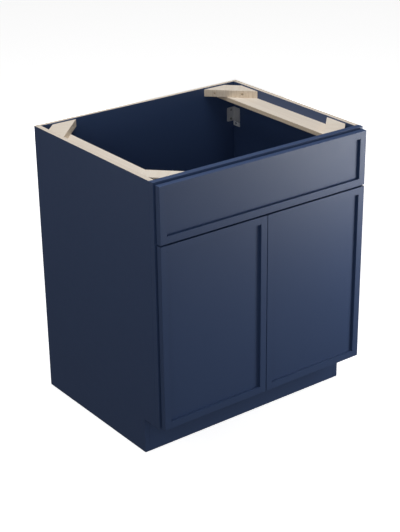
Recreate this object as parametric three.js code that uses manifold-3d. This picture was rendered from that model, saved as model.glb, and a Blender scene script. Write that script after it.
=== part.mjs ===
// A sink base cabinet of face-frame construction, in millimetres.
// X runs to the right, Y to the back and Z up, so the doors face -Y.
// The origin is on the floor, in the middle of the overall width and depth.
import * as THREE from "three";
import { mergeVertices } from "three/addons/utils/BufferGeometryUtils.js";
import Module from "manifold-3d";

const wasm = await Module();
wasm.setup();

// Case
const WIDTH = 762; // over the side panels
const DEPTH = 609.6; // from the back of the case to the front of the face frame
const HEIGHT = 876.3;
const SIDE_THICK = 16;
const BACK_THICK = 12.7;
const BOTTOM_THICK = 12.7;
const TOE_THICK = 12.7;
const TOE_HEIGHT = 114.3;
const TOE_DEPTH = 76.2; // from the front of the face frame to the toe kick board
const HOUSING = 8; // depth of the grooves and rebates that house the back and bottom panels
const SEAM = 0.25; // glue line or clearance between neighbouring pieces

// Face frame
const FRAME_WIDE = 38.1;
const FRAME_THICK = 19;
const TENON_LONG = 12;
const TENON_THICK = 6.4;
const TENON_SHOULDER = 6;

// Top rails, corner blocks and corner brackets
const RAIL_WIDE = 70;
const RAIL_THICK = 12.7;
const RAIL_DROP = 28; // from the top of the case to the top of a side rail
const BLOCK_LEG = 122; // along each wall, from the corner
const BLOCK_CUT = 40; // length of each leg that the cut-off corner takes away
const BLOCK_THICK = 23;
const BLOCK_HOLE_PLACES = [0.2, 0.71]; // along the long edge, from the end on the back or front wall
const BLOCK_HOLE_R = 2.2;
const BLOCK_SINK_R = 3.6;
const BLOCK_SINK_DEEP = 7;
const BRACKET_THICK = 2;
const BRACKET_HIGH = 47;
const BRACKET_DROP = 85; // from the top of the case to the top of a bracket
const BRACKET_BACK_WIDE = 29;
const BRACKET_SIDE_WIDE = 32;
const BRACKET_TAB_HIGH = 16;
const BRACKET_ROUND = 4;
const BRACKET_HOLE_R = 2.4;
const BRACKET_HOLE_INSET = 15; // of the screw holes, from the bend and from top and bottom
const BRACKET_TAB_HOLE_INSET = 12; // of the tab's hole, from the bend
const BRACKET_SLIT_HIGH = 2;
const BRACKET_SLIT_DEEP = 22; // from the outer edge, between the side flange and its tab

// Fronts: a false front over two doors
const FRONT_THICK = 19;
const FRONT_GAP = 3; // between the face frame and the back of a closed front
const FRONT_STILE = 22.2;
const PANEL_THICK = 10; // the panel is flush with the back, so its face is set back from the stiles
const PANEL_LAP = 8; // how far the panel reaches behind the stiles and rails
const ARRIS = 1; // rounding of the outer front edges
const BACK_ARRIS = 1.2; // least chamfer of the outer back edges
const TOP_REVEAL = 6.35;
const BOTTOM_REVEAL = 4.8;
const BETWEEN_FRONTS = 4.8;
const BETWEEN_DOORS = 2;
const FALSE_FRONT_HIGH = 170.5;

// Concealed hinges
const HINGE_FROM_END = 76; // from each end of a door to the middle of its hinge
const CUP_R = 17.5; // of the bore in the door
const CUP_FROM_EDGE = 3; // door edge to bore
const CUP_WALL = 0.75;
const CUP_FLOOR = 0.8;
const PIVOT_DEEP = 6; // from the door's back face
const PIN_R = 1;
const PIN_CLEAR = 0.1;
const EYE_WALL = 0.7;
const EYE_CLEAR = 0.3; // between the eye and the cup's floor and wall
const SWING_CLEAR = 0.25; // between a turning door's back edge and the face frame
const ARM_THICK = 1.6;
const ARM_WIDE = 8;
const ARM_REACH = 8.2; // of the low end of the arm, from the pivot
const ARM_SLOPE = 3.4; // run of the stretch that climbs out of the cup
const ARM_TO_RIM = 1.4; // between the arm, where it enters the cup, and the cup's wall
const ARM_BELOW_FRAME = 3.6; // from the face frame's front to the arm's level stretch
const FOOT_BELOW_PIVOT = 0.2;
const PLATE_HIGH = 50;
const PLATE_DEEP = 17;
const PLATE_ROUND = 3;
const PLATE_HOLE_R = 2.1;
const PLATE_HOLE_SPREAD = 32;
const FLANGE_THICK = 0.8;
const FLANGE_RIM = 1.5;
const FLANGE_EDGE = 4.7; // from the door's edge to the straight side of the flange
const EAR_SPREAD = 45; // between the two screw holes of the flange
const EAR_OFFSET = 9.5; // of those holes from the middle of the cup
const EAR_R = 5.5;
const EAR_HOLE_R = 2;

// Pads between the fronts and the face frame
const PAD_R = 5;
const PAD_CLEAR = 0.15;
const PAD_INSET = 10; // of a door's pads, from its edges
const SPACER_INSET = 60; // of the false front's spacers, from its ends
const SPACER_FROM_TOP = 12;
const SPACER_FROM_BOTTOM = 8;

const ROUND_SEGMENTS = 48;
const SMALL_SEGMENTS = 20;

// Planes that several pieces share
const backY = (DEPTH + FRONT_GAP + FRONT_THICK) / 2;
const frameFrontY = backY - DEPTH;
const frameBackY = frameFrontY + FRAME_THICK;
const backInnerY = backY - BACK_THICK;
const toeY = frameFrontY + TOE_DEPTH;
const frontBackY = frameFrontY - FRONT_GAP;
const floorTop = TOE_HEIGHT + FRAME_WIDE;
const floorUnder = floorTop - BOTTOM_THICK;
const railTop = HEIGHT - RAIL_DROP;
const falseFrontBottom = HEIGHT - TOP_REVEAL - FALSE_FRONT_HIGH;
const doorBottom = TOE_HEIGHT + BOTTOM_REVEAL;
const doorHigh = falseFrontBottom - BETWEEN_FRONTS - doorBottom;
const innerHalf = WIDTH / 2 - SIDE_THICK; // from the middle to the inside of a side panel

// The hinge sets how far a door laps the face frame: its arm runs down the stile's inner edge and
// into the cup, and its pin stands as near to the cup's other wall as the arm's eye allows.
const cupMiddle = CUP_FROM_EDGE + CUP_R; // from the door's edge
const cupOuterR = CUP_R - SEAM;
const cupInnerR = cupOuterR - CUP_WALL;
const cupReach = Math.sqrt(cupInnerR ** 2 - (ARM_WIDE / 2) ** 2); // at the edges of the arm
const eyeR = PIN_R + PIN_CLEAR + EYE_WALL;
const pivotInset = cupMiddle - cupReach + EYE_CLEAR + eyeR; // from the door's edge
const cupDeep = PIVOT_DEEP + eyeR + EYE_CLEAR + CUP_FLOOR;
const doorLap = cupMiddle + cupReach - ARM_TO_RIM - ARM_THICK - SEAM;
const sideReveal = FRAME_WIDE - doorLap;
const doorWide = (WIDTH - BETWEEN_DOORS) / 2 - sideReveal;
const falseFrontWide = WIDTH - 2 * sideReveal;

// The outer back edges of the fronts are chamfered, so that a door turns clear of the frame.
const swingR = PIVOT_DEEP + FRONT_GAP - SWING_CLEAR;
const backChamfer = Math.max(
  BACK_ARRIS,
  PIVOT_DEEP - Math.sqrt(swingR ** 2 - pivotInset ** 2),
  pivotInset - Math.sqrt(swingR ** 2 - PIVOT_DEEP ** 2),
);
const hingeHeights = { lower: HINGE_FROM_END, upper: doorHigh - HINGE_FROM_END };

const paint = finish(0x27314a, 0.45, 0);
const rawWood = finish(0xd8cab6, 0.75, 0);
const hingeSteel = finish(0xb9bdc2, 0.3, 0.9);
const bracketSteel = finish(0x56575b, 0.5, 0.6);
const padRubber = finish(0xdfe2e4, 0.6, 0);

function finish(color, roughness, metalness) {
  return new THREE.MeshStandardMaterial({ color, roughness, metalness, flatShading: true });
}

// ---- Solids: joined and cut, then turned back into meshes ----

function solid(geometry) {
  const bare = geometry.clone();
  bare.deleteAttribute("normal");
  bare.deleteAttribute("uv");
  const merged = mergeVertices(bare);
  return new wasm.Manifold(
    new wasm.Mesh({
      numProp: 3,
      vertProperties: merged.attributes.position.array,
      triVerts: new Uint32Array(merged.index.array),
    }),
  );
}

function piece(name, made, material) {
  const { vertProperties, triVerts } = made.getMesh();
  const geometry = new THREE.BufferGeometry();
  geometry.setAttribute("position", new THREE.BufferAttribute(vertProperties, 3));
  geometry.setIndex(new THREE.BufferAttribute(triVerts, 1));
  const mesh = new THREE.Mesh(geometry, material);
  mesh.name = name;
  return mesh;
}

// A straight bar between two values on each axis.
function bar([x0, x1], [y0, y1], [z0, z1]) {
  const box = new THREE.BoxGeometry(x1 - x0, y1 - y0, z1 - z0);
  box.translate((x0 + x1) / 2, (y0 + y1) / 2, (z0 + z1) / 2);
  return solid(box);
}

// A round rod from `start`, along the unit vector `along`.
function rod(radius, long, start, along, segments = SMALL_SEGMENTS) {
  const cylinder = new THREE.CylinderGeometry(radius, radius, long, segments);
  const turn = new THREE.Quaternion().setFromUnitVectors(new THREE.Vector3(0, 1, 0), along);
  cylinder.applyQuaternion(turn);
  const middle = start.clone().addScaledVector(along, long / 2);
  cylinder.translate(middle.x, middle.y, middle.z);
  return solid(cylinder);
}

function outline(points) {
  return new THREE.Shape(points.map(([a, b]) => new THREE.Vector2(a, b)));
}

function plate(shape, thick) {
  return new THREE.ExtrudeGeometry(shape, { depth: thick, bevelEnabled: false, curveSegments: 6 });
}

// Turns a plate drawn in (y, z) so that it stands across X, from x = 0 to its thickness.
function acrossX(geometry) {
  return geometry.rotateY(Math.PI / 2).rotateX(Math.PI / 2);
}

// Turns a plate drawn in (x, z) so that it stands across Y, from y = 0 to minus its thickness.
function acrossY(geometry) {
  return geometry.rotateX(Math.PI / 2);
}

// A rectangle with rounded corners; `rounds` gives their radii, from the low-low corner anticlockwise.
function roundedRect([a0, a1], [b0, b1], rounds) {
  const corners = [
    [a0, b0],
    [a1, b0],
    [a1, b1],
    [a0, b1],
  ];
  const steps = SMALL_SEGMENTS / 4;
  return outline(
    corners.flatMap(([a, b], i) => {
      const r = rounds[i];
      const centreA = a === a0 ? a + r : a - r;
      const centreB = b === b0 ? b + r : b - r;
      const turns = r > 0 ? [...Array(steps + 1).keys()].map((k) => k / steps) : [0];
      return turns.map((turn) => {
        const angle = Math.PI * (1 + (i + turn) / 2);
        return [centreA + r * Math.cos(angle), centreB + r * Math.sin(angle)];
      });
    }),
  );
}

function hole(shape, a, b, radius) {
  const path = new THREE.Path();
  path.absarc(a, b, radius, 0, 2 * Math.PI, true);
  shape.holes.push(path);
}

function joined(parts) {
  return parts.reduce((sum, part) => sum.add(part));
}

function cut(body, tools) {
  return tools.reduce((rest, tool) => rest.subtract(tool), body);
}

// ---- Case: pieces of one side, with x measured inwards from the side's outer face ----

function sidePanel(name) {
  const frontY = frameBackY + SEAM;
  const profile = outline([
    [toeY, 0],
    [backY, 0],
    [backY, HEIGHT],
    [frontY, HEIGHT],
    [frontY, TOE_HEIGHT],
    [toeY, TOE_HEIGHT],
  ]);
  const housing = [SIDE_THICK - HOUSING, SIDE_THICK + 1];
  const backRebate = bar(housing, [backInnerY - SEAM, backY + 1], [-1, HEIGHT + 1]);
  const bottomGroove = bar(housing, [frontY - 1, backY], [floorUnder - SEAM, floorTop + SEAM]);
  const board = solid(acrossX(plate(profile, SIDE_THICK)));
  return piece(name, cut(board, [backRebate, bottomGroove]), paint);
}

function sideRail(name) {
  const x = [SIDE_THICK + SEAM, SIDE_THICK + RAIL_WIDE];
  const y = [frameBackY + SEAM, backInnerY - SEAM];
  return piece(name, bar(x, y, [railTop - RAIL_THICK, railTop]), rawWood);
}

// A mitred block with its cut-off corner at the origin and its legs along +X and +Y.
function cornerBlock(name) {
  const shape = outline([
    [BLOCK_CUT, 0],
    [BLOCK_LEG, 0],
    [0, BLOCK_LEG],
    [0, BLOCK_CUT],
  ]);
  const inwards = new THREE.Vector3(-1, -1, 0).normalize();
  const screwHoles = BLOCK_HOLE_PLACES.flatMap((share) => {
    const mouth = new THREE.Vector3(BLOCK_LEG * (1 - share), BLOCK_LEG * share, BLOCK_THICK / 2);
    const outside = mouth.addScaledVector(inwards, -1);
    return [
      rod(BLOCK_SINK_R, BLOCK_SINK_DEEP + 1, outside, inwards),
      rod(BLOCK_HOLE_R, BLOCK_LEG, outside, inwards),
    ];
  });
  return piece(name, cut(solid(plate(shape, BLOCK_THICK)), screwHoles), rawWood);
}

// A bent steel angle in the corner of the back and a side: the corner is at the origin, the flanges
// lie along +X and -Y, and a tab with a hole hangs below the side flange, partly slit from it.
function cornerBracket(name) {
  const r = BRACKET_ROUND;
  const backShape = roundedRect([0, BRACKET_BACK_WIDE], [-BRACKET_HIGH, 0], [0, r, r, 0]);
  for (const down of [BRACKET_HOLE_INSET, BRACKET_HIGH - BRACKET_HOLE_INSET])
    hole(backShape, BRACKET_BACK_WIDE - BRACKET_HOLE_INSET, -down, BRACKET_HOLE_R);
  const backFlange = solid(acrossY(plate(backShape, BRACKET_THICK)));

  const sideShape = roundedRect([-BRACKET_SIDE_WIDE, 0], [-BRACKET_HIGH, 0], [r, 0, 0, r]);
  const sideFlange = solid(acrossX(plate(sideShape, BRACKET_THICK)));
  const tabEnd = -BRACKET_HIGH - BRACKET_TAB_HIGH;
  const tabShape = roundedRect([-BRACKET_SIDE_WIDE, 0], [tabEnd, r - BRACKET_HIGH], [0, r / 2, 0, 0]);
  hole(tabShape, -BRACKET_TAB_HOLE_INSET, tabEnd + BRACKET_TAB_HIGH / 2, BRACKET_HOLE_R);
  const tab = solid(acrossX(plate(tabShape, BRACKET_THICK)));
  const slit = bar(
    [-1, BRACKET_THICK + 1],
    [-BRACKET_SIDE_WIDE - 1, BRACKET_SLIT_DEEP - BRACKET_SIDE_WIDE],
    [-BRACKET_HIGH - BRACKET_SLIT_HIGH, -BRACKET_HIGH],
  );
  return piece(name, cut(joined([backFlange, sideFlange, tab]), [slit]), bracketSteel);
}

// ---- Face frame ----

// Heights of the rails' lower edges; the middle rail is centred on the gap between the fronts.
const frameRails = {
  top: HEIGHT - FRAME_WIDE,
  middle: falseFrontBottom - BETWEEN_FRONTS / 2 - FRAME_WIDE / 2,
  bottom: TOE_HEIGHT,
};

function frameStile(name) {
  const tenonY = frameFrontY + (FRAME_THICK - TENON_THICK) / 2;
  const mortises = Object.values(frameRails).map((low) =>
    bar(
      [FRAME_WIDE - TENON_LONG - SEAM, FRAME_WIDE + 1],
      [tenonY - SEAM, tenonY + TENON_THICK + SEAM],
      [low + TENON_SHOULDER - SEAM, low + FRAME_WIDE - TENON_SHOULDER + SEAM],
    ),
  );
  const body = bar([0, FRAME_WIDE], [frameFrontY, frameBackY], [TOE_HEIGHT, HEIGHT]);
  return piece(name, cut(body, mortises), paint);
}

function frameRail(name, low) {
  const shoulder = WIDTH / 2 - FRAME_WIDE - SEAM;
  const end = shoulder + SEAM + TENON_LONG;
  const tenonY = frameFrontY + (FRAME_THICK - TENON_THICK) / 2;
  const body = bar([-shoulder, shoulder], [frameFrontY, frameBackY], [low, low + FRAME_WIDE]);
  const tenons = bar(
    [-end, end],
    [tenonY, tenonY + TENON_THICK],
    [low + TENON_SHOULDER, low + FRAME_WIDE - TENON_SHOULDER],
  );
  return piece(name, body.add(tenons), paint);
}

// ---- Fronts ----

// The whole front before it is split into its pieces: x from 0 to its width, z from 0 to its height,
// y from 0 at its back to minus its thickness at its face, with its outer edges eased.
function frontBlank(wide, high) {
  const eased = (edge, segments, y) => {
    const shape = outline([
      [edge, edge],
      [wide - edge, edge],
      [wide - edge, high - edge],
      [edge, high - edge],
    ]);
    const slab = new THREE.ExtrudeGeometry(shape, {
      depth: FRONT_THICK,
      bevelThickness: edge,
      bevelSize: edge,
      bevelSegments: segments,
    });
    return solid(acrossY(slab).translate(0, y, 0));
  };
  const roundedFace = eased(ARRIS, 4, ARRIS);
  const chamferedBack = eased(backChamfer, 1, -backChamfer);
  return roundedFace.intersect(chamferedBack);
}

// Stiles run the full height. A rebate round the back holds the panel, and each rail reaches into it.
function framedFront(names, wide, high, bores) {
  const blank = frontBlank(wide, high);
  const shoulderY = -PANEL_THICK;
  const inner = FRONT_STILE - PANEL_LAP;
  const face = [-FRONT_THICK, shoulderY];
  const whole = [-FRONT_THICK, 0];
  const behind = [shoulderY + SEAM, 0];
  const stile = (edge, towards) => {
    const span = (reach) => [edge, edge + towards * reach].sort((a, b) => a - b);
    return bar(span(FRONT_STILE), face, [0, high]).add(bar(span(inner), whole, [0, high]));
  };
  const rail = (edge, towards) => {
    const span = (reach) => [edge, edge + towards * reach].sort((a, b) => a - b);
    const between = [FRONT_STILE + SEAM, wide - FRONT_STILE - SEAM];
    const tongues = [inner + SEAM, wide - inner - SEAM];
    return joined([
      bar(between, face, span(FRONT_STILE)),
      bar(between, whole, span(inner)),
      bar(tongues, behind, span(inner)),
    ]);
  };
  const panel = bar([inner + SEAM, wide - inner - SEAM], behind, [inner + SEAM, high - inner - SEAM]);
  const made = [stile(0, 1), stile(wide, -1), rail(high, -1), rail(0, 1), panel];
  const front = new THREE.Group();
  made.forEach((body, i) => front.add(piece(names[i], cut(body.intersect(blank), bores), paint)));
  return front;
}

// ---- Hinges, with the door's back outer edge at the origin: x into the door's width, y to the back ----

const pivot = new THREE.Vector3(pivotInset, -PIVOT_DEEP, 0);
const upwards = new THREE.Vector3(0, 0, 1);
const forwards = new THREE.Vector3(0, -1, 0);

function cupBore(z) {
  const mouth = new THREE.Vector3(cupMiddle, 1, z);
  return rod(CUP_R, cupDeep + SEAM + 1, mouth, forwards, ROUND_SEGMENTS);
}

function hingeCup(name) {
  const flangeTop = SEAM + FLANGE_THICK;
  const flangeUnder = new THREE.Vector3(cupMiddle, SEAM, 0);
  const backwards = forwards.clone().negate();
  const rim = rod(cupOuterR + FLANGE_RIM, FLANGE_THICK, flangeUnder, backwards, ROUND_SEGMENTS);
  const earX = cupMiddle + EAR_OFFSET;
  const earZ = EAR_SPREAD / 2;
  const earShape = roundedRect(
    [earX - EAR_R, earX + EAR_R],
    [-earZ - EAR_R, earZ + EAR_R],
    [EAR_R, EAR_R, EAR_R, EAR_R],
  );
  for (const z of [-earZ, earZ]) hole(earShape, earX, z, EAR_HOLE_R);
  const ears = solid(acrossY(plate(earShape, FLANGE_THICK)).translate(0, flangeTop, 0));
  const mouth = new THREE.Vector3(cupMiddle, flangeTop, 0);
  const shell = rod(cupOuterR, flangeTop + cupDeep, mouth, forwards, ROUND_SEGMENTS);
  const hollow = rod(
    cupInnerR,
    flangeTop + cupDeep - CUP_FLOOR + 1,
    mouth.clone().addScaledVector(forwards, -1),
    forwards,
    ROUND_SEGMENTS,
  );
  const straightSide = bar([0, FLANGE_EDGE], [0, flangeTop + 1], [-EAR_SPREAD, EAR_SPREAD]);
  return piece(name, cut(joined([rim, ears, shell]), [hollow, straightSide]), hingeSteel);
}

function hingePin(name) {
  const nearSide = cupMiddle - pivotInset + PIN_R; // of the pin, from the middle of the cup
  const halfLong = Math.sqrt(cupInnerR ** 2 - nearSide ** 2) - SEAM;
  const start = pivot.clone().addScaledVector(upwards, -halfLong);
  return piece(name, rod(PIN_R, 2 * halfLong, start, upwards), hingeSteel);
}

// The arm is screwed to the stile's inner edge, passes in front of the stile into the cup, and dips
// to the pin; its low end lets the lip of the cup come round when the door is open.
function hingeArm(name) {
  const frameFront = FRONT_GAP;
  const legX = doorLap + SEAM;
  const plateBack = frameFront + PLATE_DEEP;
  const runY = frameFront - ARM_BELOW_FRAME;
  const footY = pivot.y - FOOT_BELOW_PIVOT;
  const dipX = pivot.x + ARM_REACH;
  const climbX = dipX + ARM_SLOPE;
  const strip = outline([
    [legX, plateBack],
    [legX, runY],
    [climbX, runY],
    [dipX, footY],
    [pivot.x, footY],
    [pivot.x, footY - ARM_THICK],
    [dipX + ARM_THICK / 2, footY - ARM_THICK],
    [climbX + ARM_THICK / 2, runY - ARM_THICK],
    [legX + ARM_THICK, runY - ARM_THICK],
    [legX + ARM_THICK, plateBack],
  ]);
  const arm = solid(plate(strip, ARM_WIDE).translate(0, 0, -ARM_WIDE / 2));
  const eyeStart = pivot.clone().addScaledVector(upwards, -ARM_WIDE / 2);
  const eye = rod(eyeR, ARM_WIDE, eyeStart, upwards);
  const eyeHole = rod(PIN_R + PIN_CLEAR, PLATE_HIGH, eyeStart.addScaledVector(upwards, -1), upwards);
  const plateShape = roundedRect(
    [frameFront + SEAM, plateBack],
    [-PLATE_HIGH / 2, PLATE_HIGH / 2],
    [PLATE_ROUND, PLATE_ROUND, PLATE_ROUND, PLATE_ROUND],
  );
  for (const z of [-PLATE_HOLE_SPREAD / 2, PLATE_HOLE_SPREAD / 2])
    hole(plateShape, (frameFront + plateBack) / 2, z, PLATE_HOLE_R);
  const fixing = solid(acrossX(plate(plateShape, ARM_THICK)).translate(legX, 0, 0));
  return piece(name, cut(joined([arm, eye, fixing]), [eyeHole]), hingeSteel);
}

// A pad on the back of a front, domed towards the face frame.
function pad(name, x, z) {
  const thick = FRONT_GAP - 2 * PAD_CLEAR;
  const profile = [
    [0, 0],
    [PAD_R, 0],
    [PAD_R, thick * 0.5],
    [PAD_R * 0.6, thick],
    [0, thick],
  ].map(([r, h]) => new THREE.Vector2(r, h));
  const mesh = piece(name, solid(new THREE.LatheGeometry(profile, SMALL_SEGMENTS)), padRubber);
  mesh.position.set(x, PAD_CLEAR, z);
  return mesh;
}

// ---- Assembly ----

function door(side) {
  const names = ["hinge_stile", "meeting_stile", "top_rail", "bottom_rail", "panel"];
  const bores = Object.values(hingeHeights).map(cupBore);
  const leaf = framedFront(names.map((n) => `${side}_door_${n}`), doorWide, doorHigh, bores);
  for (const [level, z] of Object.entries(hingeHeights)) {
    const moving = [hingeCup(`${side}_${level}_hinge_cup`), hingePin(`${side}_${level}_hinge_pin`)];
    for (const item of [...moving, hingeArm(`${side}_${level}_hinge_arm`)]) {
      item.position.z = z;
      leaf.add(item);
    }
  }
  leaf.add(pad(`${side}_door_upper_bumper`, doorWide - PAD_INSET, doorHigh - PAD_INSET));
  leaf.add(pad(`${side}_door_lower_bumper`, doorWide - PAD_INSET, PAD_INSET));
  leaf.position.set(sideReveal, frontBackY, doorBottom);
  return leaf;
}

// Everything that the left and the right side have alike; the right side is its mirror image.
function half(side, mirror) {
  const group = new THREE.Group();
  group.add(sidePanel(`${side}_side_panel`), sideRail(`${side}_side_rail`));
  group.add(frameStile(`${side}_frame_stile`), door(side));
  const corner = SIDE_THICK + SEAM;
  for (const [end, y, towards] of [
    ["front", frameBackY + SEAM, 1],
    ["back", backInnerY - SEAM, -1],
  ]) {
    const block = cornerBlock(`${side}_${end}_corner_block`);
    block.position.set(corner, y, railTop + SEAM);
    block.scale.y = towards;
    group.add(block);
  }
  const bracket = cornerBracket(`${side}_corner_bracket`);
  bracket.position.set(corner, backInnerY - SEAM, HEIGHT - BRACKET_DROP);
  group.add(bracket);
  group.position.x = (-mirror * WIDTH) / 2;
  group.scale.x = mirror;
  return group;
}

function falseFront() {
  const names = ["left_stile", "right_stile", "top_rail", "bottom_rail", "panel"];
  const front = framedFront(names.map((n) => `false_front_${n}`), falseFrontWide, FALSE_FRONT_HIGH, []);
  for (const [side, x] of [
    ["left", SPACER_INSET],
    ["right", falseFrontWide - SPACER_INSET],
  ]) {
    front.add(pad(`${side}_upper_spacer`, x, FALSE_FRONT_HIGH - SPACER_FROM_TOP));
    front.add(pad(`${side}_lower_spacer`, x, SPACER_FROM_BOTTOM));
  }
  front.position.set(-falseFrontWide / 2, frontBackY, falseFrontBottom);
  return front;
}

function caseBoards() {
  const housed = [-(innerHalf + HOUSING - SEAM), innerHalf + HOUSING - SEAM];
  const between = [-(innerHalf - SEAM), innerHalf - SEAM];
  const back = bar(housed, [backInnerY, backY], [0, HEIGHT]);
  const bottom = bar(housed, [frameBackY + SEAM, backInnerY - SEAM], [floorUnder, floorTop]);
  const toe = bar(between, [toeY, toeY + TOE_THICK], [0, floorUnder - SEAM]);
  return [
    piece("back_panel", back, paint),
    piece("bottom_panel", bottom, paint),
    piece("toe_kick_board", toe, paint),
  ];
}

const cabinet = new THREE.Group();
cabinet.name = "sink_base_cabinet";
cabinet.add(...caseBoards(), falseFront(), half("left", 1), half("right", -1));
for (const [place, low] of Object.entries(frameRails))
  cabinet.add(frameRail(`frame_${place}_rail`, low));

export default cabinet;
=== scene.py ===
"""The looks of a sink base cabinet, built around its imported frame.

Metres; X runs to the right, Y to the back and Z up, so the doors face -Y. The brackets and the screws
are measured in millimetres, and so is what box_mm gives.
"""

import math

import bmesh
import bpy
from mathutils import Matrix, Vector


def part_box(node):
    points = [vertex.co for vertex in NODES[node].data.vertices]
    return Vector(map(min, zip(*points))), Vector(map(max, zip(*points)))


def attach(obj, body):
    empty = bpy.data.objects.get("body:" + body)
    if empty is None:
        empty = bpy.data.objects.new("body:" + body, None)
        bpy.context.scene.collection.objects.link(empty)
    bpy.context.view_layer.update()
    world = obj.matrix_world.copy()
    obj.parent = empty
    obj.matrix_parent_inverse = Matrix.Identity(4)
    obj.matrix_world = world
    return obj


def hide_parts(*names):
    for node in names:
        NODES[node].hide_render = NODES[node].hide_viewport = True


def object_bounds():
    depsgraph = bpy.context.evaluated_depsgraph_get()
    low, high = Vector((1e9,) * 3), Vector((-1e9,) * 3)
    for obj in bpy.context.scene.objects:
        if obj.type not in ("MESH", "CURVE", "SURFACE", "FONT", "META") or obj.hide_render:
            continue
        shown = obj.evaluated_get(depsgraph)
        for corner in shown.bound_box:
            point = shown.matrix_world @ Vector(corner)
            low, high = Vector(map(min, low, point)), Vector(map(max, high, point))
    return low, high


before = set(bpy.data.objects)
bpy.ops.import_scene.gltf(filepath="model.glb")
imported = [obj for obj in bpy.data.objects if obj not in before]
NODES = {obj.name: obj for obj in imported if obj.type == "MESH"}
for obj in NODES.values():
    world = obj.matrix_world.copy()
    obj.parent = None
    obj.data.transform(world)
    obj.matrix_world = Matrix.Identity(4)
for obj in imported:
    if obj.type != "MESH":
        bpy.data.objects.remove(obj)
CAD_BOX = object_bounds()
SIDES = {"left": -1, "right": 1}  # and which way each lies along X
ENDS = {"front": -1, "back": 1}  # and which way each lies along Y
LEVELS = ("upper", "lower")
MM = 0.001


def box_mm(name):
    return [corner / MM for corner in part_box(name)]


def nodes_ending(*ends):
    return [name for name in NODES if name.endswith(ends)]


SIDE_PANELS = [f"{side}_side_panel" for side in SIDES]
SIDE_RAILS = [f"{side}_side_rail" for side in SIDES]
BLOCKS = nodes_ending("_corner_block")
BRACKETS = [f"{side}_corner_bracket" for side in SIDES]
HINGE_PARTS = nodes_ending("_hinge_cup", "_hinge_pin", "_hinge_arm")
PADS = nodes_ending("_bumper", "_spacer")

# ---- Camera: the photograph's angle, distance and framing ----

IMAGE_WIDE, IMAGE_HIGH = 400, 532
CAMERA_PLACE = Vector((-2.35117, -3.14159, 2.19077))
CAMERA_AZIMUTH = math.radians(-38.412)
CAMERA_ELEVATION = math.radians(25.706)
FOCAL_PIXELS = 1386.01
CENTRE_PIXEL = (237.59, 301.33)
SENSOR = 36.0
NEAREST, FARTHEST = 0.05, 100


def make_camera():
    data = bpy.data.cameras.new("photo_camera")
    data.sensor_width = SENSOR
    data.lens = FOCAL_PIXELS * SENSOR / IMAGE_HIGH
    data.shift_x = (IMAGE_WIDE / 2 - CENTRE_PIXEL[0]) / IMAGE_HIGH
    data.shift_y = (CENTRE_PIXEL[1] - IMAGE_HIGH / 2) / IMAGE_HIGH
    data.clip_start, data.clip_end = NEAREST, FARTHEST
    camera = bpy.data.objects.new("photo_camera", data)
    level = math.cos(CAMERA_ELEVATION)
    back_x = math.sin(CAMERA_AZIMUTH) * level
    back_y = -math.cos(CAMERA_AZIMUTH) * level
    back = Vector((back_x, back_y, math.sin(CAMERA_ELEVATION)))
    camera.location = CAMERA_PLACE
    camera.rotation_mode = "QUATERNION"
    camera.rotation_quaternion = (-back).to_track_quat("-Z", "Y")
    bpy.context.scene.collection.objects.link(camera)
    bpy.context.scene.camera = camera


# ---- Node helpers ----


def node(tree, kind, inputs=None, **settings):
    """Adds a shader node; an input is a value or another node's output."""
    made = tree.nodes.new("ShaderNode" + kind)
    for name, value in settings.items():
        setattr(made, name, value)
    for socket, value in (inputs or {}).items():
        if isinstance(value, bpy.types.NodeSocket):
            tree.links.new(value, made.inputs[socket])
        else:
            made.inputs[socket].default_value = value
    return made


def maths(tree, operation, a, b=0.0, clamp=False):
    return node(tree, "Math", {0: a, 1: b}, operation=operation, use_clamp=clamp).outputs[0]


def mixed(tree, share, a, b):
    """Two colours mixed: a where share is 0, b where it is 1."""
    return node(tree, "Mix", {0: share, 6: a, 7: b}, data_type="RGBA").outputs[2]


def ramp(tree, value, stops):
    """A colour ramp through [(position, colour), ...]."""
    made = node(tree, "ValToRGB", {"Fac": value})
    elements = made.color_ramp.elements
    while len(elements) < len(stops):
        elements.new(1.0)
    for element, (position, colour) in zip(elements, stops):
        element.position, element.color = position, colour
    return made.outputs["Color"]


def spread(tree, value, low, high):
    """A value from 0 to 1 spread over low to high."""
    made = node(tree, "MapRange", {"Value": value, "To Min": low, "To Max": high})
    return made.outputs["Result"]


def place(tree, stretch=(1.0, 1.0, 1.0), turn=0.0):
    """Object coordinates, turned about Z and then stretched."""
    source = node(tree, "TexCoord").outputs["Object"]
    turned = node(tree, "Mapping", {"Vector": source, "Rotation": (0.0, 0.0, turn)})
    scaled = node(tree, "Mapping", {"Vector": turned.outputs[0], "Scale": stretch})
    return scaled.outputs[0]


def axes_of(tree, coordinates):
    """The X, Y and Z outputs of Object or Normal coordinates."""
    return node(tree, "SeparateXYZ", {0: node(tree, "TexCoord").outputs[coordinates]}).outputs


def noise(tree, vector, scale=1.0, detail=3.0, roughness=0.5, distortion=0.0):
    values = {
        "Vector": vector,
        "Scale": scale,
        "Detail": detail,
        "Roughness": roughness,
        "Distortion": distortion,
    }
    return node(tree, "TexNoise", values).outputs["Fac"]


def bump(tree, height, depth, strength, under=None):
    values = {"Height": height, "Distance": depth, "Strength": strength}
    if under is not None:
        values["Normal"] = under
    return node(tree, "Bump", values).outputs["Normal"]


def grey(value):
    return (value, value, value, 1.0)


def darker(colour, share):
    return tuple(share * part for part in colour[:3]) + (1.0,)


def material(name):
    made = bpy.data.materials.new(name)
    made.use_nodes = True
    tree = made.node_tree
    return made, tree, tree.nodes["Principled BSDF"]


def feed(tree, shader, **inputs):
    """Sets or links inputs of a Principled shader; an underscore stands for a space."""
    for name, value in inputs.items():
        socket = shader.inputs[name.replace("_", " ")]
        if isinstance(value, bpy.types.NodeSocket):
            tree.links.new(value, socket)
        else:
            socket.default_value = value


# ---- Materials ----

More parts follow.
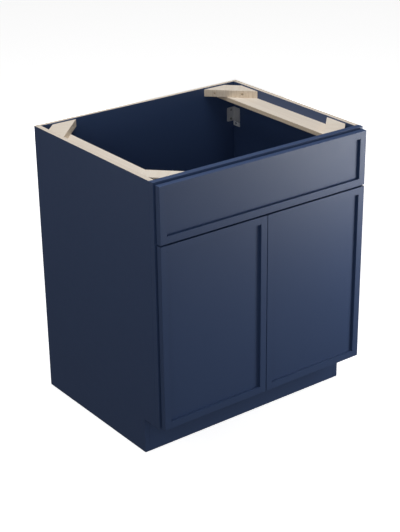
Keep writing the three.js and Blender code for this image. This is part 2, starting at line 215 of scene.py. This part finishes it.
NAVY = (0.042, 0.076, 0.176, 1.0)
NAVY_DEEP = (0.038, 0.070, 0.165, 1.0)
# a lighter navy for the edges: partly wear, partly painted highlight
NAVY_WORN_AND_HIGHLIGHT = (0.075, 0.120, 0.230, 1.0)
WOOD_PALE = (0.820, 0.745, 0.650, 1.0)
WOOD_MILD = (0.750, 0.655, 0.550, 1.0)
WOOD_WARM = (0.660, 0.550, 0.425, 1.0)
SAWN_PALE = (0.920, 0.815, 0.675, 1.0)
SAWN_MILD = (0.830, 0.700, 0.550, 1.0)
SAWN_DARK = (0.600, 0.475, 0.345, 1.0)
PLY_PALE = (0.960, 0.850, 0.680, 1.0)
PLY_MILD = (0.880, 0.700, 0.500, 1.0)
PAD_CLOUDED = (0.62, 0.64, 0.65, 1.0)
PAD_CLEAR = (0.80, 0.81, 0.82, 1.0)

# How dense each pattern is along X, Y and Z, per metre. Its lines run where that is least.
UPRIGHT_GRAIN = (420.0, 420.0, 9.0)
LEVEL_GRAIN = (9.0, 420.0, 420.0)
VENEER_FIGURE = (75.0, 3.0, 75.0)
VENEER_LINES = (420.0, 5.0, 420.0)
VENEER_PORES = (1500.0, 60.0, 1500.0)
SAWN_STREAKS = (330.0, 330.0, 22.0)
SAW_BANDS = (38.0, 38.0, 5.0)
DRAWN_LINES = (90.0, 90.0, 1600.0)

# How much of a second colour a pattern mixes in, from its lowest to its highest value.
GRAIN_SHARE = (0.0, 0.3)
VENEER_LINE_SHARE = (-0.25, 0.55)
SAW_BAND_SHARE = (0.0, 0.35)
END_GRAIN_SHADE, MOTTLE_SHADE = 0.82, 0.8

# Roughness, from a pattern's lowest to its highest value.
LACQUER_ROUGHNESS = (0.40, 0.48)
WORN_ROUGHNESS = (0.44, 0.36)
RAIL_ROUGHNESS = (0.68, 0.78)
BLOCK_ROUGHNESS = (0.70, 0.80)
PAD_ROUGHNESS = (0.35, 0.5)
RAW_ROUGHNESS = 0.75
STEEL_SMOOTHER, STEEL_ROUGHER = 0.06, 0.08

PLY_WANDER = 0.12  # how far a ply strays from its place, in plies
SIDE_PLIES, BACK_PLIES, RAIL_PLIES = 9, 7, 5
SQUARE_ON = 0.6  # a face looks along an axis if its normal has more than this share of it
RAW_TOP, RAW_FOOT, RAW_REAR = 5 * MM, 2 * MM, 2 * MM  # how far in the bare edges may begin


def lacquer(tree, grain=UPRIGHT_GRAIN):
    """Satin navy lacquer over faint grain: its colour, roughness and bump."""
    here = place(tree)
    cloud = noise(tree, here, scale=5.0, detail=2.0)
    fibre = noise(tree, place(tree, grain), detail=4.0, roughness=0.6, distortion=0.2)
    colour = mixed(tree, cloud, NAVY_DEEP, NAVY)
    colour = mixed(tree, spread(tree, fibre, *GRAIN_SHARE), colour, NAVY_DEEP)
    gloss = noise(tree, here, scale=40.0, detail=4.0)
    roughness = spread(tree, gloss, *LACQUER_ROUGHNESS)
    wave = bump(tree, cloud, depth=0.0006, strength=0.3)
    pressed = bump(tree, fibre, depth=0.00005, strength=0.25, under=wave)
    peel = noise(tree, here, scale=700.0, detail=2.0)
    return colour, roughness, bump(tree, peel, depth=0.00003, strength=0.25, under=pressed)


def navy_paint(name, grain):
    made, tree, shader = material(name)
    colour, roughness, normal = lacquer(tree, grain)
    feed(tree, shader, Base_Color=colour, Roughness=roughness, Normal=normal)
    return made


def navy_edge_wear_and_highlight():
    """The lacquer on sharp edges: lighter and smoother in patches, partly wear and partly a painted
    highlight along the edges.
    """
    made, tree, shader = material("navy_edge_wear_and_highlight")
    colour, _, normal = lacquer(tree)
    patches = noise(tree, place(tree), scale=14.0, detail=5.0, roughness=0.65)
    worn_and_highlit = ramp(tree, patches, [(0.42, grey(0.0)), (0.68, grey(1.0))])
    feed(
        tree,
        shader,
        Base_Color=mixed(tree, worn_and_highlit, colour, NAVY_WORN_AND_HIGHLIGHT),
        Roughness=spread(tree, worn_and_highlit, *WORN_ROUGHNESS),
        Normal=normal,
    )
    return made


def veneer(tree, turn):
    """A pale sanded face with its grain along Y, before it is turned: its colour and height."""
    figure = noise(
        tree, place(tree, VENEER_FIGURE, turn), detail=6.0, roughness=0.6, distortion=0.3
    )
    lines = noise(tree, place(tree, VENEER_LINES, turn), detail=3.0, roughness=0.6)
    pores = noise(tree, place(tree, VENEER_PORES, turn), detail=2.0)
    base = ramp(tree, figure, [(0.3, WOOD_MILD), (0.62, WOOD_PALE)])
    lined = mixed(tree, spread(tree, lines, *VENEER_LINE_SHARE), base, WOOD_MILD)
    flecks = ramp(tree, pores, [(0.62, grey(0.0)), (0.74, grey(0.8))])
    return mixed(tree, flecks, lined, WOOD_WARM), pores


def ply_edge(tree, across, first, ply, pale, mild):
    """The sawn edge of plywood, its colour and height: the plies lie across one axis, from first on,
    each ply thick."""
    off_middle = maths(tree, "ABSOLUTE", axes_of(tree, "Object")[across])
    layer = maths(tree, "DIVIDE", maths(tree, "SUBTRACT", off_middle, first), ply)
    stray = noise(tree, place(tree), scale=25.0, detail=2.0)
    wander = spread(tree, stray, -PLY_WANDER, PLY_WANDER)
    step = maths(tree, "PINGPONG", maths(tree, "ADD", layer, wander), 1.0)
    plies = ramp(tree, step, [(0.35, grey(0.0)), (0.65, grey(1.0))])
    fibres = noise(tree, place(tree), scale=500.0, detail=3.0, roughness=0.7)
    end_grain = mixed(tree, fibres, mild, darker(mild, END_GRAIN_SHADE))
    long_grain = mixed(tree, fibres, pale, mild)
    return mixed(tree, plies, long_grain, end_grain), fibres


def facing_up(tree):
    """1 on level faces and 0 on upright ones."""
    lie = maths(tree, "ABSOLUTE", axes_of(tree, "Normal")["Z"])
    return maths(tree, "GREATER_THAN", lie, SQUARE_ON)


def bare_edges(tree, with_rear):
    """1 on the top and bottom edges of the case, and on the rear ones if asked, and 0 elsewhere."""
    where = axes_of(tree, "Object")
    high = maths(tree, "GREATER_THAN", where["Z"], CAD_BOX[1].z - RAW_TOP)
    low = maths(tree, "LESS_THAN", where["Z"], RAW_FOOT)
    bare = maths(tree, "MULTIPLY", facing_up(tree), maths(tree, "ADD", high, low, clamp=True))
    if not with_rear:
        return bare
    facing_back = maths(tree, "GREATER_THAN", axes_of(tree, "Normal")["Y"], SQUARE_ON)
    far = maths(tree, "GREATER_THAN", where["Y"], CAD_BOX[1].y - RAW_REAR)
    return maths(tree, "ADD", bare, maths(tree, "MULTIPLY", facing_back, far), clamp=True)


def painted_ply(name, across, first, ply):
    """Lacquered plywood whose top, bottom and rear edges are left raw."""
    made, tree, shader = material(name)
    colour, roughness, normal = lacquer(tree)
    edge, fibres = ply_edge(tree, across, first, ply, WOOD_PALE, WOOD_MILD)
    bare = bare_edges(tree, with_rear=across == "X")
    coarse = spread(tree, bare, 0.0, RAW_ROUGHNESS)
    height = maths(tree, "MULTIPLY", fibres, bare)
    feed(
        tree,
        shader,
        Base_Color=mixed(tree, bare, colour, edge),
        Roughness=maths(tree, "MAXIMUM", roughness, coarse),
        Normal=bump(tree, height, depth=0.0002, strength=0.4, under=normal),
    )
    return made


def rail_ply():
    """The top rails: raw plywood, pale faces and sawn edges."""
    made, tree, shader = material("rail_plywood")
    face, pores = veneer(tree, 0.0)
    low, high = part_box("left_side_rail")
    edge, fibres = ply_edge(tree, "Z", low.z, (high.z - low.z) / RAIL_PLIES, PLY_PALE, PLY_MILD)
    level = facing_up(tree)
    feed(
        tree,
        shader,
        Base_Color=mixed(tree, level, edge, face),
        Roughness=spread(tree, pores, *RAIL_ROUGHNESS),
        Normal=bump(tree, mixed(tree, level, fibres, pores), depth=0.0002, strength=0.5),
    )
    return made


def block_wood(name, turn):
    """A corner block: pale sanded top, and sawn end grain on its edges."""
    made, tree, shader = material(name)
    face, pores = veneer(tree, turn)
    streaks = noise(tree, place(tree, SAWN_STREAKS), detail=5.0, roughness=0.65)
    bands = noise(tree, place(tree, SAW_BANDS), detail=2.0)
    sawn = ramp(tree, streaks, [(0.30, SAWN_DARK), (0.48, SAWN_MILD), (0.68, SAWN_PALE)])
    sawn = mixed(tree, spread(tree, bands, *SAW_BAND_SHARE), sawn, SAWN_MILD)
    level = facing_up(tree)
    feed(
        tree,
        shader,
        Base_Color=mixed(tree, level, sawn, face),
        Roughness=spread(tree, pores, *BLOCK_ROUGHNESS),
        Normal=bump(tree, mixed(tree, level, streaks, pores), depth=0.0003, strength=0.5),
    )
    return made


def plated_steel(name, colour, rough, metal):
    """Steel with a thin plating: fine drawn lines and a faint mottle."""
    made, tree, shader = material(name)
    drawn = noise(tree, place(tree, DRAWN_LINES), detail=3.0)
    mottle = noise(tree, place(tree), scale=160.0, detail=3.0, roughness=0.6)
    feed(
        tree,
        shader,
        Base_Color=mixed(tree, mottle, darker(colour, MOTTLE_SHADE), colour),
        Metallic=metal,
        Roughness=spread(tree, mottle, rough - STEEL_SMOOTHER, rough + STEEL_ROUGHER),
        Normal=bump(tree, drawn, depth=0.00004, strength=0.3),
    )
    return made


def clear_pad():
    """Soft clear bumpers, slightly clouded."""
    made, tree, shader = material("clear_bumper")
    cloud = noise(tree, place(tree), scale=260.0, detail=3.0)
    feed(
        tree,
        shader,
        Base_Color=mixed(tree, cloud, PAD_CLOUDED, PAD_CLEAR),
        Roughness=spread(tree, cloud, *PAD_ROUGHNESS),
        Transmission_Weight=0.35,
        IOR=1.42,
    )
    return made


NICKEL = plated_steel("nickel_plate", (0.76, 0.75, 0.73, 1.0), rough=0.36, metal=0.85)
ZINC = plated_steel("zinc_sheet", (0.62, 0.62, 0.63, 1.0), rough=0.45, metal=0.25)
# paler zinc painted on the bracket's tab and eased edges: a painted highlight where light falls on
# them
ZINC_PAINTED_HIGHLIGHT = plated_steel("zinc_painted_highlight", (0.93, 0.94, 0.94, 1.0), rough=0.36, metal=0.15)
SCREW_STEEL = plated_steel("screw_steel", (0.72, 0.70, 0.68, 1.0), rough=0.40, metal=0.6)
DARK_STEEL = plated_steel("dark_screw_steel", (0.40, 0.40, 0.38, 1.0), rough=0.36, metal=0.9)
YELLOW_STEEL = plated_steel("yellow_screw_steel", (0.95, 0.78, 0.56, 1.0), rough=0.42, metal=0.3)


def dress(names, made):
    """Gives CAD nodes a material."""
    for name in names:
        NODES[name].data.materials.clear()
        NODES[name].data.materials.append(made)


def dress_boards():
    """The lacquered boards: grain along each board, and on the eased edges a lacquer painted lighter
    in patches, partly wear and partly painted highlight.
    """
    others = {"back_panel", *SIDE_PANELS, *SIDE_RAILS, *BLOCKS, *BRACKETS, *HINGE_PARTS, *PADS}
    boards = [name for name in NODES if name not in others]
    level = [name for name in boards if name.endswith(("_rail", "_board")) or name == "bottom_panel"]
    upright = [name for name in boards if name not in level]
    dress(upright, navy_paint("navy_upright_grain", UPRIGHT_GRAIN))
    dress(level, navy_paint("navy_level_grain", LEVEL_GRAIN))
    edge = navy_edge_wear_and_highlight()
    for name in boards:
        NODES[name].data.materials.append(edge)


def dress_case():
    """The side and back panels, lacquered plywood with raw edges."""
    inner = abs(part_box("left_side_rail")[0].x)
    ply = abs(abs(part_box("left_side_panel")[0].x) - inner) / SIDE_PLIES
    dress(SIDE_PANELS, painted_ply("painted_side", "X", inner, ply))
    low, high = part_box("back_panel")
    dress(["back_panel"], painted_ply("painted_back", "Y", low.y, (high.y - low.y) / BACK_PLIES))


def dress_raw_wood():
    """The side rails, and the corner blocks with their grain square to the sawn face."""
    dress(SIDE_RAILS, rail_ply())
    rising = [name for name in BLOCKS if name.startswith(("left_back", "right_front"))]
    falling = [name for name in BLOCKS if name not in rising]
    dress(rising, block_wood("wood_rising", math.radians(-45)))
    dress(falling, block_wood("wood_falling", math.radians(45)))


def dress_nodes():
    dress_boards()
    dress_case()
    dress_raw_wood()
    dress(HINGE_PARTS, NICKEL)
    dress(BRACKETS, ZINC)
    dress(PADS, clear_pad())


# ---- Eased edges ----

JOINTED_EASE, BOARD_EASE, BRACKET_EASE = 0.25 * MM, 0.6 * MM, 0.9 * MM
EASE_SEGMENTS = 2
EASE_ANGLE = math.radians(35)
WELD_GAP = 1e-5


def ease(item, width):
    """Joins a piece's loose faces and rounds its edges a little."""
    weld = item.modifiers.new("weld", "WELD")
    weld.merge_threshold = WELD_GAP
    bevel = item.modifiers.new("ease", "BEVEL")
    bevel.width = width
    bevel.segments = EASE_SEGMENTS
    bevel.limit_method = "ANGLE"
    bevel.angle_limit = EASE_ANGLE
    bevel.harden_normals = False
    if len(item.data.materials) > 1:
        bevel.material = 1  # lacquer lighter from wear and painted highlight, or zinc painted paler as a highlight
    normals = item.modifiers.new("normals", "WEIGHTED_NORMAL")
    normals.keep_sharp = False


def ease_nodes():
    """Eases all boards, and less where they are jointed and have to meet closely."""
    for name in NODES:
        if name in (*HINGE_PARTS, *PADS, *BRACKETS):
            continue
        jointed = name.startswith(("frame_", "false_front_")) or "_door_" in name or "_stile" in name
        ease(NODES[name], JOINTED_EASE if jointed else BOARD_EASE)


# ---- Corner brackets ----

BRACKET_HIGH, BRACKET_THICK = 47.0, 2.0
BRACKET_HOLE_INSET = 15.0  # of the screw holes, from the bend; and as packed, from top and bottom
BRACKET_HOLE_DROP = 8.5  # of the screw holes as made here, from top and bottom
TAB_HIGH, TAB_HOLE_INSET, TAB_HOLE_SCALE = 16.0, 12.0, 1.8
HOLE_REACH = 3.0  # takes in a hole's rim and no other corner
PLANE_REACH = 0.05  # within which a corner counts as on a plane
X, Y, Z = 0, 1, 2


def near(vert, axes, centre):
    """Whether a corner lies on the rim of the hole round a centre."""
    gap = [vert.co[axis] / MM - value for axis, value in zip(axes, centre)]
    return math.hypot(*gap) < HOLE_REACH


def lies_on(part, axis, plane):
    """Whether a face or an edge lies on a plane across an axis."""
    return all(abs(vert.co[axis] / MM - plane) < PLANE_REACH for vert in part.verts)


def clear_flats(mesh, axis, planes):
    """Deletes the faces on some planes, with the edges that belong to them alone."""
    flats = [face for face in mesh.faces if any(lies_on(face, axis, plane) for plane in planes)]
    bmesh.ops.delete(mesh, geom=flats, context="FACES_ONLY")
    loose = [edge for edge in mesh.edges if not edge.link_faces]
    bmesh.ops.delete(mesh, geom=loose, context="EDGES")


def fill_flats(mesh, axis, planes):
    """Fills the open rims on some planes, and leaves their holes open."""
    for plane in planes:
        open_edges = [edge for edge in mesh.edges if len(edge.link_faces) == 1]
        rim = [edge for edge in open_edges if lies_on(edge, axis, plane)]
        bmesh.ops.triangle_fill(mesh, edges=rim, use_beauty=True)


def spread_screw_holes(mesh, across, middle):
    """Moves the two screw holes of the back flange further apart."""
    was = BRACKET_HIGH / 2 - BRACKET_HOLE_INSET
    now = BRACKET_HIGH / 2 - BRACKET_HOLE_DROP
    for vert in mesh.verts:
        for sign in (-1, 1):
            if near(vert, (X, Z), (across, middle + sign * was)):
                vert.co.z += sign * (now - was) * MM
                break


def widen_tab_hole(mesh, centre):
    for vert in mesh.verts:
        if near(vert, (Y, Z), centre):
            gap = Vector((vert.co.y / MM, vert.co.z / MM)) - centre
            vert.co.y = (centre.x + TAB_HOLE_SCALE * gap.x) * MM
            vert.co.z = (centre.y + TAB_HOLE_SCALE * gap.y) * MM


def paint_tab_highlight(mesh, top):
    """Splits the tab off at its top, in metres, and gives it the second material: zinc painted paler,
    as painted light on the tab.
    """
    below = Vector((0, 0, top))
    parts = [*mesh.verts, *mesh.edges, *mesh.faces]
    bmesh.ops.bisect_plane(mesh, geom=parts, plane_co=below, plane_no=(0, 0, 1))
    for face in mesh.faces:
        if face.calc_center_median().z < top:
            face.material_index = 1


def bracket_mesh(side):
    name = f"{side}_corner_bracket"
    low, high = box_mm(name)
    out = SIDES[side]
    outer, inner = (high.x, low.x) if out > 0 else (low.x, high.x)
    back_planes = (high.y, high.y - BRACKET_THICK)
    side_planes = (outer, outer - out * BRACKET_THICK)
    mesh = bmesh.new()
    mesh.from_mesh(NODES[name].data)
    bmesh.ops.remove_doubles(mesh, verts=mesh.verts, dist=WELD_GAP)
    clear_flats(mesh, Y, back_planes)
    spread_screw_holes(mesh, inner + out * BRACKET_HOLE_INSET, high.z - BRACKET_HIGH / 2)
    fill_flats(mesh, Y, back_planes)
    clear_flats(mesh, X, side_planes)
    widen_tab_hole(mesh, Vector((high.y - TAB_HOLE_INSET, low.z + TAB_HIGH / 2)))
    fill_flats(mesh, X, side_planes)
    # the tab gets the paler zinc, a painted highlight
    paint_tab_highlight(mesh, (high.z - BRACKET_HIGH) * MM)
    bmesh.ops.recalc_face_normals(mesh, faces=mesh.faces)
    made = bpy.data.meshes.new(f"{side}_bracket_steel")
    mesh.to_mesh(made)
    mesh.free()
    made.materials.append(ZINC)
    made.materials.append(ZINC_PAINTED_HIGHLIGHT)
    return made


def make_bracket(side):
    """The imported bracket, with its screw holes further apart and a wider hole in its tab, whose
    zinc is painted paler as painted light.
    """
    name = f"{side}_corner_bracket"
    bracket = bpy.data.objects.new(f"{side}_bracket_steel", bracket_mesh(side))
    bpy.context.scene.collection.objects.link(bracket)
    ease(bracket, BRACKET_EASE)
    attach(bracket, "root")
    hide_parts(name)


# ---- Screws ----

BLOCK_LEG, BLOCK_SINK_DEEP = 122.0, 7.0
BLOCK_HOLE_SHARES = (0.2, 0.71)  # along the long edge
PLATE_THICK, PLATE_DEEP, PLATE_HOLE_SPREAD = 1.6, 17.0, 32.0
EAR_THICK, EAR_HOLE_SPREAD, EAR_HOLE_INSET = 0.8, 45.0, 30.0
FRONT_SCREW_AT = 200.0  # from the middle of the false front
FRONT_SCREW_SHARES = {"frame_top_rail": 0.5, "frame_middle_rail": 0.78}  # of the rail's height

# The radius and height of the head, and the radius and length of the shank.
BLOCK_SCREW = (3.2, 3.6, 1.9, 24.0)
BRACKET_SCREW = (4.1, 2.3, 2.0, BRACKET_THICK)
PLATE_SCREW = (3.6, 1.9, 1.7, PLATE_THICK)
EAR_SCREW = (3.3, 0.9, 1.6, EAR_THICK)
FRONT_SCREW = (4.1, 1.7, 0.0, 0.0)

# How far the screws' crosses are turned, in radians: the first, and one step more for the next.
SIDE_SPIN = 0.3  # to either side of straight, on the left and on the right
BLOCK_SPIN_STEP, EAR_SPIN_STEP = 0.7, 0.6
BRACKET_SPIN, BRACKET_SPIN_STEP = 0.5, 0.9
PLATE_SPIN, PLATE_SPIN_STEP = 0.4, 0.8

SCREW_SEGMENTS = 24
DOME = ((1.0, 0.0), (1.0, 0.42), (0.93, 0.72), (0.8, 0.92), (0.62, 1.0))  # shares of radius, height
TIP_SHARE, TIP_LIMIT = 1.6, 0.5  # of the shank's radius, and of its length
CROSS_REACH, CROSS_HALF, CROSS_DEEP = 0.52, 0.13, 0.6  # shares of the head
CROSS_FLOOR_REACH, CROSS_FLOOR_HALF = 0.72, 0.7  # shares of the cross's mouth
CROSS_CORNERS = 12
SMOOTH_ANGLE = math.radians(38)


def lathe(mesh, profile):
    """Turns [(radius, height), ...] about Z, from the bottom up; returns the open top ring."""
    turns = [math.tau * i / SCREW_SEGMENTS for i in range(SCREW_SEGMENTS)]
    rings = []
    for radius, height in profile:
        if radius == 0.0:
            corners = [(0.0, 0.0, height)]
        else:
            corners = [(radius * math.cos(t), radius * math.sin(t), height) for t in turns]
        rings.append([mesh.verts.new(corner) for corner in corners])
    for below, above in zip(rings, rings[1:]):
        for i in range(SCREW_SEGMENTS):
            j = (i + 1) % SCREW_SEGMENTS
            start = [below[0]] if len(below) == 1 else [below[i], below[j]]
            mesh.faces.new(start + [above[j], above[i]])
    return rings[-1]


def cross_ring(mesh, reach, half, height):
    """The twelve corners of a cross, with the inner corner first in each quarter."""
    quarter = [(half, half), (half, reach), (-half, reach)]
    corners = []
    for turn in range(4):
        spin = Matrix.Rotation(math.pi / 2 * turn, 2)
        corners += [spin @ Vector(corner) for corner in quarter]
    return [mesh.verts.new((corner.x, corner.y, height)) for corner in corners]


def loop_edges(mesh, ring):
    return [mesh.edges.get((ring[i - 1], ring[i])) for i in range(len(ring))]


def screw_mesh(name, sizes, steel):
    """A pan-head screw along Z with a cross recess: its head's underside is at 0."""
    head, high, shank, long = (size * MM for size in sizes)
    mesh = bmesh.new()
    profile = [(0.0, 0.0)]
    if long > 0.0:
        tip = min(shank * TIP_SHARE, TIP_LIMIT * long)
        profile = [(0.0, -long), (shank, tip - long), (shank, 0.0)]
    ring = lathe(mesh, profile + [(across * head, up * high) for across, up in DOME])
    reach, half = CROSS_REACH * head, CROSS_HALF * head
    floor_reach, floor_half = CROSS_FLOOR_REACH * reach, CROSS_FLOOR_HALF * half
    mouth = cross_ring(mesh, reach, half, high)
    floor = cross_ring(mesh, floor_reach, floor_half, high - CROSS_DEEP * high)
    for i in range(CROSS_CORNERS):
        j = (i + 1) % CROSS_CORNERS
        mesh.faces.new((mouth[i], floor[i], floor[j], mouth[j]))
    mesh.faces.new(floor)
    rims = loop_edges(mesh, ring) + loop_edges(mesh, mouth)
    bmesh.ops.triangle_fill(mesh, edges=rims, use_beauty=True)
    bmesh.ops.recalc_face_normals(mesh, faces=mesh.faces)
    made = bpy.data.meshes.new(name)
    mesh.to_mesh(made)
    mesh.free()
    made.shade_smooth()
    made.set_sharp_from_angle(angle=SMOOTH_ANGLE)
    made.materials.append(steel)
    return made


def drive(mesh, name, where, outwards, spin, body="root"):
    """Puts a screw at a place in mm, its head's top facing outwards."""
    screw = bpy.data.objects.new(name, mesh)
    turn = Vector(outwards).to_track_quat("Z", "Y").to_matrix() @ Matrix.Rotation(spin, 3, "Z")
    screw.matrix_world = Matrix.Translation(Vector(where) * MM) @ turn.to_4x4()
    bpy.context.scene.collection.objects.link(screw)
    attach(screw, body)


def block_screws():
    """Two screws through each corner block, driven from its sawn face towards the corner."""
    mesh = screw_mesh("block_screw", BLOCK_SCREW, YELLOW_STEEL)
    for side, out in SIDES.items():
        for end, far in ENDS.items():
            low, high = box_mm(f"{side}_{end}_corner_block")
            corner = Vector((low.x if out < 0 else high.x, low.y if far < 0 else high.y, 0))
            inwards = Vector((-out, -far, 0)).normalized()
            for i, share in enumerate(BLOCK_HOLE_SHARES):
                along = BLOCK_LEG * (1 - share) * out, BLOCK_LEG * share * far
                where = corner - Vector((*along, 0)) - inwards * BLOCK_SINK_DEEP
                where.z = (low.z + high.z) / 2
                name = f"{side}_{end}_block_screw_{i + 1}"
                drive(mesh, name, where, inwards, BLOCK_SPIN_STEP * i + SIDE_SPIN * out)


def bracket_screws():
    """Two screws through the back flange of each corner bracket, into the back panel."""
    mesh = screw_mesh("bracket_screw", BRACKET_SCREW, DARK_STEEL)
    for side, out in SIDES.items():
        low, high = box_mm(f"{side}_corner_bracket")
        across = (high.x if out < 0 else low.x) + out * BRACKET_HOLE_INSET
        drops = (BRACKET_HOLE_DROP, BRACKET_HIGH - BRACKET_HOLE_DROP)
        for i, drop in enumerate(drops):
            where = (across, high.y - BRACKET_THICK, high.z - drop)
            name = f"{side}_bracket_screw_{i + 1}"
            spin = BRACKET_SPIN + BRACKET_SPIN_STEP * i
            drive(mesh, name, where, (0, -1, 0), spin)


def hinge_screws():
    """Two screws for each hinge plate, in the frame, and two for each cup, in the door."""
    plate = screw_mesh("plate_screw", PLATE_SCREW, SCREW_STEEL)
    ear = screw_mesh("ear_screw", EAR_SCREW, SCREW_STEEL)
    for side, out in SIDES.items():
        edge = max(abs(corner.x) for corner in box_mm(f"{side}_door_hinge_stile"))
        for level in LEVELS:
            low, high = box_mm(f"{side}_{level}_hinge_arm")
            inner = min(abs(low.x), abs(high.x)) * out
            top = box_mm(f"{side}_{level}_hinge_cup")[1].y
            middle = (low.z + high.z) / 2
            for i, sign in enumerate((-1, 1)):
                name = f"{side}_{level}_plate_screw_{i + 1}"
                where = (inner, high.y - PLATE_DEEP / 2, middle + sign * PLATE_HOLE_SPREAD / 2)
                drive(plate, name, where, (-out, 0, 0), PLATE_SPIN + PLATE_SPIN_STEP * i)
                name = f"{side}_{level}_cup_screw_{i + 1}"
                where = ((edge - EAR_HOLE_INSET) * out, top, middle + sign * EAR_HOLE_SPREAD / 2)
                drive(ear, name, where, (0, 1, 0), EAR_SPIN_STEP * i, body=f"{side}_door")


def false_front_screws():
    """Four screws through the frame's upper rails hold the false front from behind."""
    mesh = screw_mesh("front_screw", FRONT_SCREW, SCREW_STEEL)
    for rail, share in FRONT_SCREW_SHARES.items():
        low, high = box_mm(rail)
        height = low.z + share * (high.z - low.z)
        for side, out in SIDES.items():
            where = (FRONT_SCREW_AT * out, high.y, height)
            drive(mesh, f"{side}_{rail}_screw", where, (0, 1, 0), SIDE_SPIN * out)


def drive_screws():
    block_screws()
    bracket_screws()
    hinge_screws()
    false_front_screws()


# ---- Studio ----

FLOOR_HALF = 20.0
FLOOR_DROP = 0.0004  # keeps the floor clear of the case's feet
FLOOR_GLOW = 0.80
FLOOR_PALE, FLOOR_PALEST = grey(0.90), grey(0.93)
WORLD_LEVEL = 0.09  # as light on the object
WORLD_SEEN = 0.95  # as the camera's background

# name: place, aim, width, height, watts
LAMPS = {
    "top": ((0.3, 0.0, 5.5), (0.0, 0.0, 0.0), 1.6, 1.6, 66.0),
    "above": ((-0.1, 0.0, 2.3), (-0.1, 0.0, 0.0), 0.9, 0.9, 11.0),
    "low_right": ((1.5, -1.9, 0.3), (0.38, -0.3, 0.75), 1.0, 0.6, 7.3),
    "near_right": ((0.95, -1.0, 0.55), (0.38, -0.3, 0.75), 0.5, 0.5, 2.1),
    "high_right": ((0.85, -0.85, 0.75), (0.38, -0.3, 0.75), 0.5, 0.5, 2.3),
    "front_low": ((-0.6, -2.6, 0.6), (0.0, -0.3, 0.4), 1.5, 0.8, 2.4),
    "front_high": ((-0.4, -2.8, 1.5), (0.0, 0.2, 0.85), 1.2, 1.0, 1.7),
    "front_left": ((-1.6, -2.2, 1.6), (0.1, 0.2, 0.85), 1.0, 1.0, 4.2),
    "left_front": ((-2.5, -2.0, 1.8), (-0.3, 0.0, 0.5), 1.5, 1.5, 7.5),
    "left_high": ((-2.6, -0.3, 1.7), (0.3, 0.1, 0.85), 1.2, 1.0, 4.6),
    "back_left": ((-2.2, 1.8, 1.6), (-0.3, 0.0, 0.5), 1.5, 1.5, 3.2),
    "low_left": ((-2.4, 1.2, 0.5), (-0.38, 0.0, 0.45), 1.2, 0.8, 3.1),
    "low_back": ((1.6, 2.6, 0.5), (0.1, 0.3, 0.4), 1.6, 0.7, 14.0),
}


def floor_material():
    made, tree, shader = material("pale_floor")
    cloud = noise(tree, place(tree), scale=0.6, detail=2.0)
    feed(
        tree,
        shader,
        Base_Color=mixed(tree, cloud, FLOOR_PALE, FLOOR_PALEST),
        Roughness=0.9,
        Specular_IOR_Level=0.1,
        Emission_Color=grey(1.0),
        Emission_Strength=FLOOR_GLOW,
    )
    return made


def make_floor():
    half = FLOOR_HALF
    mesh = bpy.data.meshes.new("floor")
    corners = [(-half, -half, 0), (half, -half, 0), (half, half, 0), (-half, half, 0)]
    mesh.from_pydata(corners, [], [(0, 1, 2, 3)])
    mesh.materials.append(floor_material())
    floor = bpy.data.objects.new("floor", mesh)
    floor.location.z = -FLOOR_DROP
    floor.visible_diffuse = False
    floor.visible_glossy = False
    bpy.context.scene.collection.objects.link(floor)


def make_lamp(name, where, aim, width, height, watts):
    data = bpy.data.lights.new(name, "AREA")
    data.shape = "RECTANGLE"
    data.size, data.size_y = width, height
    data.energy = watts
    lamp = bpy.data.objects.new(name, data)
    lamp.location = where
    lamp.rotation_mode = "QUATERNION"
    lamp.rotation_quaternion = (Vector(aim) - Vector(where)).to_track_quat("-Z", "Y")
    lamp.visible_camera = False
    bpy.context.scene.collection.objects.link(lamp)


def make_world():
    """A plain white world, bright to the camera and dim as a light."""
    world = bpy.data.worlds.new("studio")
    world.use_nodes = True
    tree = world.node_tree
    background = tree.nodes["Background"]
    background.inputs["Color"].default_value = grey(1.0)
    seen = node(tree, "LightPath").outputs["Is Camera Ray"]
    strength = spread(tree, seen, WORLD_LEVEL, WORLD_SEEN)
    tree.links.new(strength, background.inputs["Strength"])
    bpy.context.scene.world = world


def make_studio():
    make_floor()
    for name, (where, aim, width, height, watts) in LAMPS.items():
        make_lamp(name, where, aim, width, height, watts)
    make_world()
    bpy.context.scene.view_settings.view_transform = "Standard"


make_camera()
make_studio()
dress_nodes()
ease_nodes()
for side in SIDES:
    make_bracket(side)
drive_screws()
